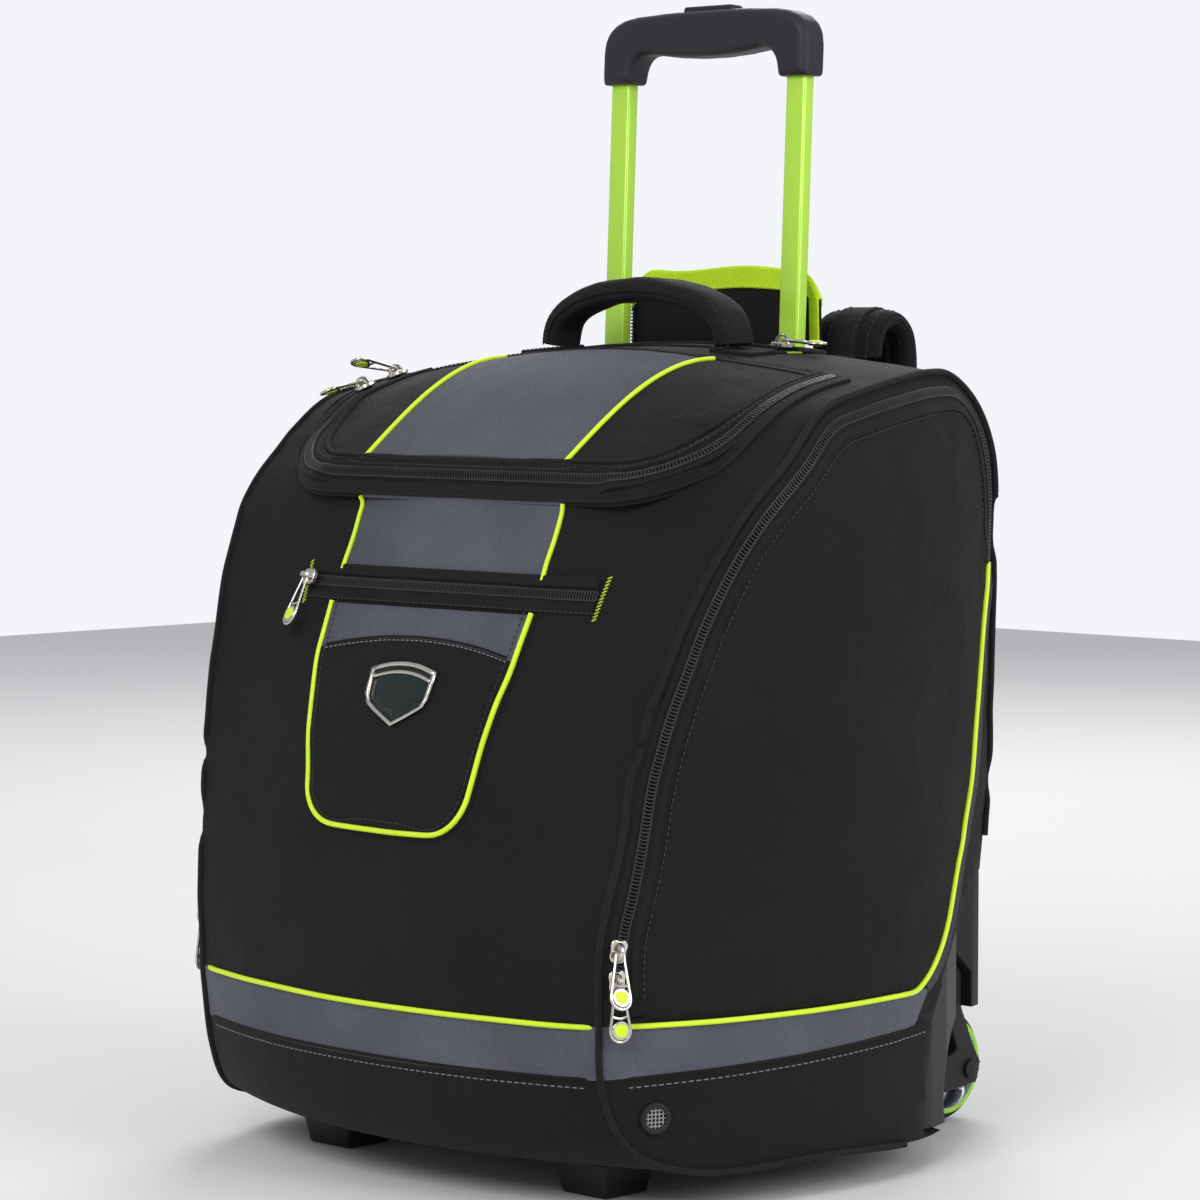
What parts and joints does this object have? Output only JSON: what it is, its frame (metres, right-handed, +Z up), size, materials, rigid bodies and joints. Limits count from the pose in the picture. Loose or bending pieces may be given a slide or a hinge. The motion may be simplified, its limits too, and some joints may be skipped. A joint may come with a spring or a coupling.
{
  "type": "wheeled skate bag",
  "caption": "Soft wheeled skate bag with a telescopic tow handle, zipped lid, zipped side compartments, front pocket, carry handle and shoulder straps.",
  "frame": {"origin": "on the ground, under the middle of the whole bag's box", "axes": "+X to the right as seen from the front, +Y towards the back (wheels and straps), +Z up"},
  "size_m": [0.4912, 0.4768, 0.763],
  "materials": {
    "black_fabric": "black polyester twill, matt",
    "grey_fabric": "slate grey polyester twill, matt",
    "zip_plastic": "black moulded coil",
    "board": "dark extruded sheet",
    "lime_paint": "lime green gloss paint on aluminium tube",
    "steel": "plain steel",
    "moulding": "black fine-grained moulding",
    "grip_rubber": "dark satin rubber",
    "nickel": "polished nickel plating",
    "hub_silver": "silver painted spoked hub",
    "tyre": "black urethane"
  },
  "bodies": {
    "bag": {"body_shell": "black_fabric", "lid_zip_chain": "zip_plastic", "left_door_zip_chain": "zip_plastic", "right_door_zip_chain": "zip_plastic", "front_pocket_panel": "grey_fabric", "pocket_zip_chain": "zip_plastic", "badge": "nickel", "base_board": "board", "back_board": "board", "left_divider": "black_fabric", "right_divider": "black_fabric", "left_outer_tube": "steel", "right_outer_tube": "steel", "tube_bracket": "moulding", "handle_bezel": "moulding", "left_axle": "steel", "right_axle": "steel", "left_wheel_housing": "moulding", "right_wheel_housing": "moulding", "left_skid_rail": "moulding", "right_skid_rail": "moulding", "left_foot": "moulding", "right_foot": "moulding", "left_vent_eyelet": "moulding", "right_vent_eyelet": "moulding", "kick_plate": "moulding", "garage_zip_chain": "zip_plastic", "left_strap_webbing": "black_fabric", "right_strap_webbing": "black_fabric"},
    "tow_handle": {"left_inner_tube": "lime_paint", "right_inner_tube": "lime_paint", "grip": "grip_rubber"},
    "grip_button": {"release_button": "grip_rubber"},
    "left_wheel": {"left_wheel_tyre": "tyre", "left_wheel_hub": "hub_silver", "left_wheel_bearing": "steel"},
    "right_wheel": {"right_wheel_tyre": "tyre", "right_wheel_hub": "hub_silver", "right_wheel_bearing": "steel"},
    "lid_flap": {"lid": "grey_fabric"},
    "left_side_door": {"left_door": "black_fabric"},
    "right_side_door": {"right_door": "black_fabric"},
    "handle_cover": {"garage_flap": "black_fabric"},
    "carry_handle": {"grab_handle": "black_fabric"},
    "left_strap": {"left_shoulder_strap": "black_fabric"},
    "right_strap": {"right_shoulder_strap": "black_fabric"},
    "pocket_zip_slider": {"pocket_slider": "nickel"},
    "pocket_zip_pull": {"pocket_pull": "nickel"},
    "garage_zip_slider": {"garage_slider": "nickel"},
    "garage_zip_pull": {"garage_pull": "nickel"},
    "lid_front_zip_slider": {"lid_front_slider": "nickel"},
    "lid_front_zip_pull": {"lid_front_pull": "nickel"},
    "lid_rear_zip_slider": {"lid_rear_slider": "nickel"},
    "lid_rear_zip_pull": {"lid_rear_pull": "nickel"},
    "left_door_zip_slider": {"left_door_slider": "nickel"},
    "left_door_zip_pull": {"left_door_pull": "nickel"},
    "right_door_lower_zip_slider": {"right_door_lower_slider": "nickel"},
    "right_door_lower_zip_pull": {"right_door_lower_pull": "nickel"},
    "right_door_upper_zip_slider": {"right_door_upper_slider": "nickel"},
    "right_door_upper_zip_pull": {"right_door_upper_pull": "nickel"}
  },
  "joints": [
    {"name": "tow_handle_slide", "type": "slide", "parent": "bag", "child": "tow_handle", "axis": [0, 0.0436, 0.999], "range_m": [-0.175, 0.2]},
    {"name": "grip_button_press", "type": "slide", "parent": "tow_handle", "child": "grip_button", "axis": [0, -0.0436, -0.999], "range_m": [0, 0.003], "stiffness_N_per_m": 400},
    {"name": "left_wheel_spin", "type": "hinge", "parent": "bag", "child": "left_wheel", "pos_m": [-0.11, 0.19838, 0.04], "axis": [1, 0, 0], "continuous": true},
    {"name": "right_wheel_spin", "type": "hinge", "parent": "bag", "child": "right_wheel", "pos_m": [0.11, 0.19838, 0.04], "axis": [1, 0, 0], "continuous": true},
    {"name": "lid_open", "type": "hinge", "parent": "bag", "child": "lid_flap", "pos_m": [0, 0.00238, 0.5315], "axis": [-1, 0, 0], "range_deg": [0, 80]},
    {"name": "left_door_open", "type": "hinge", "parent": "bag", "child": "left_side_door", "pos_m": [-0.2335, -0.04762, 0.1225], "axis": [0, -1, 0], "range_deg": [0, 90]},
    {"name": "right_door_open", "type": "hinge", "parent": "bag", "child": "right_side_door", "pos_m": [0.2335, -0.04762, 0.1225], "axis": [0, 1, 0], "range_deg": [0, 90]},
    {"name": "handle_cover_fold", "type": "hinge", "parent": "bag", "child": "handle_cover", "pos_m": [0, 0.10688, 0.534], "axis": [-1, 0, 0], "range_deg": [-6, 25], "stiffness_Nm_per_rad": 0.3},
    {"name": "carry_handle_swing", "type": "hinge", "parent": "bag", "child": "carry_handle", "pos_m": [0, 0.02838, 0.5385], "axis": [1, 0, 0], "range_deg": [-24, 24], "stiffness_Nm_per_rad": 0.5},
    {"name": "left_strap_swing", "type": "hinge", "parent": "bag", "child": "left_strap", "pos_m": [-0.085, 0.13738, 0.529], "axis": [1, 0, 0], "range_deg": [0, 60]},
    {"name": "right_strap_swing", "type": "hinge", "parent": "bag", "child": "right_strap", "pos_m": [0.085, 0.13738, 0.529], "axis": [1, 0, 0], "range_deg": [0, 60]},
    {"name": "pocket_zip_run", "type": "slide", "parent": "bag", "child": "pocket_zip_slider", "axis": [0.9615, -0.2749, 0], "range_m": [0, 0.05]},
    {"name": "pocket_pull_swing", "type": "hinge", "parent": "pocket_zip_slider", "child": "pocket_zip_pull", "pos_m": [-0.11848, -0.17149, 0.38259], "axis": [-0.9668, 0.236, -0.0977], "range_deg": [0, 100]},
    {"name": "garage_zip_run", "type": "slide", "parent": "bag", "child": "garage_zip_slider", "axis": [-0.9976, 0, 0.0695], "range_m": [0, 0.06]},
    {"name": "garage_pull_swing", "type": "hinge", "parent": "garage_zip_slider", "child": "garage_zip_pull", "pos_m": [0.09258, 0.06288, 0.53711], "axis": [0, -1, 0], "range_deg": [0, 100]},
    {"name": "lid_front_zip_run", "type": "slide", "parent": "bag", "child": "lid_front_zip_slider", "axis": [0, 0.946, 0.3242], "range_m": [-0.03, 0]},
    {"name": "lid_front_pull_swing", "type": "hinge", "parent": "lid_front_zip_slider", "child": "lid_front_zip_pull", "pos_m": [-0.19587, -0.04996, 0.50745], "axis": [-0.9379, 0.1125, -0.3282], "range_deg": [0, 45]},
    {"name": "lid_rear_zip_run", "type": "slide", "parent": "bag", "child": "lid_rear_zip_slider", "axis": [0, 0.9732, 0.2298], "range_m": [0, 0.012]},
    {"name": "lid_rear_pull_swing", "type": "hinge", "parent": "lid_rear_zip_slider", "child": "lid_rear_zip_pull", "pos_m": [-0.19567, -0.0192, 0.51584], "axis": [-0.941, 0.0778, -0.3293], "range_deg": [0, 100]},
    {"name": "left_door_zip_run", "type": "slide", "parent": "bag", "child": "left_door_zip_slider", "axis": [-0.0258, -0.0284, 0.9993], "range_m": [-0.006, 0.04]},
    {"name": "left_door_pull_swing", "type": "hinge", "parent": "left_door_zip_slider", "child": "left_door_zip_pull", "pos_m": [-0.194, -0.19826, 0.1518], "axis": [-0.3902, 0.9206, 0.0161], "range_deg": [0, 100]},
    {"name": "right_door_lower_zip_run", "type": "slide", "parent": "bag", "child": "right_door_lower_zip_slider", "axis": [0.0258, -0.0284, 0.9993], "range_m": [-0.004, 0.002]},
    {"name": "right_door_lower_pull_swing", "type": "hinge", "parent": "right_door_lower_zip_slider", "child": "right_door_lower_zip_pull", "pos_m": [0.1939, -0.19815, 0.14779], "axis": [-0.3902, -0.9206, -0.0161], "range_deg": [0, 20]},
    {"name": "right_door_upper_zip_run", "type": "slide", "parent": "bag", "child": "right_door_upper_zip_slider", "axis": [0.103, 0.1275, 0.9865], "range_m": [0, 0.04]},
    {"name": "right_door_upper_pull_swing", "type": "hinge", "parent": "right_door_upper_zip_slider", "child": "right_door_upper_zip_pull", "pos_m": [0.1947, -0.19805, 0.16674], "axis": [-0.3854, -0.9092, 0.1578], "range_deg": [0, 100]}
  ]
}
